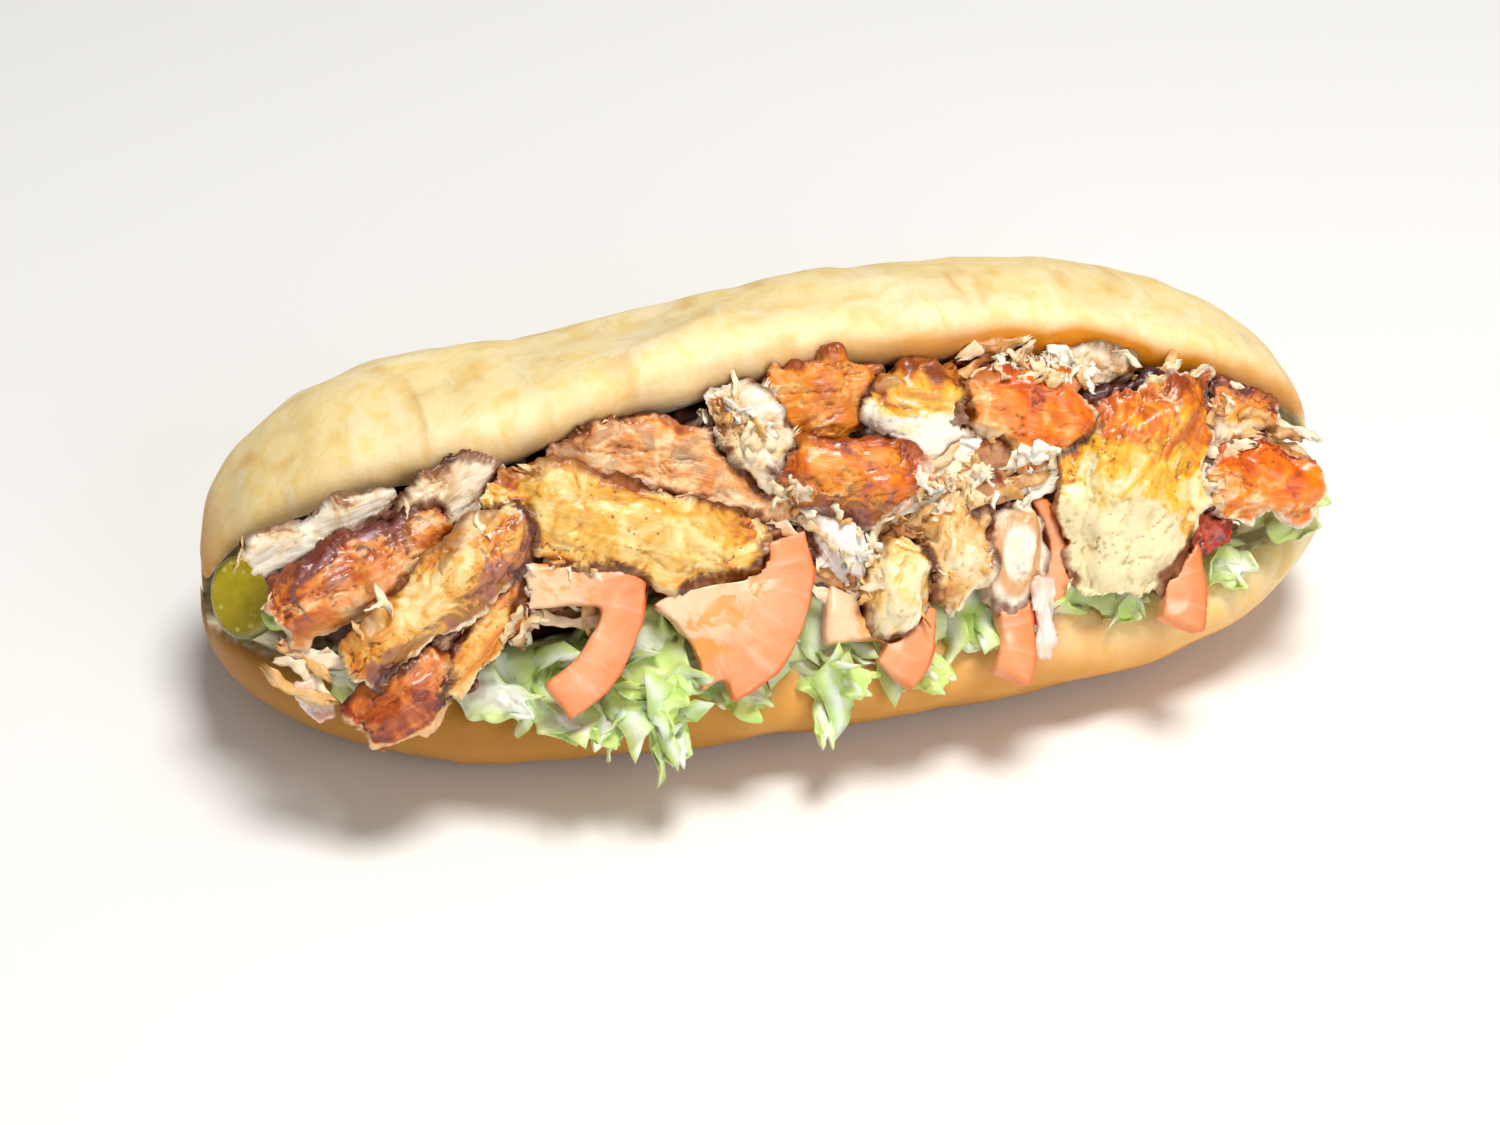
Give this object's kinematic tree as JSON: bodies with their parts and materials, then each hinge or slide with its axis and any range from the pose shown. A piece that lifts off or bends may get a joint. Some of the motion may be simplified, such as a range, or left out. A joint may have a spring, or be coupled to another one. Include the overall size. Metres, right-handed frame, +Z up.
{
  "type": "doner kebab sandwich",
  "caption": "Long soft roll split along its front and filled with sliced roast chicken, tomato, lettuce, pickle and onion.",
  "frame": {"origin": "on the surface it lies on, under the middle of the sandwich's bounding box", "axes": "+X along the roll, to the right as seen from its open side; -Y out of the open side; +Z up"},
  "size_m": [0.2448, 0.1076, 0.0912],
  "materials": {
    "crust": "soft baked crust, matte",
    "chicken": "roast chicken, browned edges with a slight gloss",
    "tomato": "cut tomato, moist",
    "lettuce": "shredded lettuce, slightly glossy",
    "chopped_meat": "chopped roast chicken, moist",
    "pickle": "pickled cucumber, moist",
    "onion": "raw onion, slightly glossy"
  },
  "bodies": {
    "root": {"chicken_cream_top": "chicken", "chicken_curled_scrap": "chicken", "chicken_dark_rim": "chicken", "chicken_deep_red": "chicken", "chicken_diamond": "chicken", "chicken_egg_round": "chicken", "chicken_far_rim": "chicken", "chicken_folded_piece": "chicken", "chicken_gold_bar": "chicken", "chicken_grey_middle": "chicken", "chicken_left_panel": "chicken", "chicken_long_bar": "chicken", "chicken_orange_edge": "chicken", "chicken_pale_sliver": "chicken", "chicken_pale_wedge": "chicken", "chicken_red_flap": "chicken", "chicken_red_scrap": "chicken", "chicken_right_panel": "chicken", "chicken_rosy_slice": "chicken", "chicken_seared_wedge": "chicken", "chicken_spotted_chunk": "chicken", "chicken_top_orange": "chicken", "chicken_white_chunk": "chicken", "chicken_white_curl": "chicken", "chicken_yellow_chunk": "chicken", "lettuce": "lettuce", "meat_heap": "chopped_meat", "onion_left": "onion", "onion_middle": "onion", "onion_strip": "onion", "pickle": "pickle", "roll": "crust", "tomato_hanging_strip": "tomato", "tomato_left": "tomato", "tomato_low": "tomato", "tomato_right_strip": "tomato", "tomato_tucked": "tomato", "tomato_wide": "tomato"}
  },
  "joints": []
}
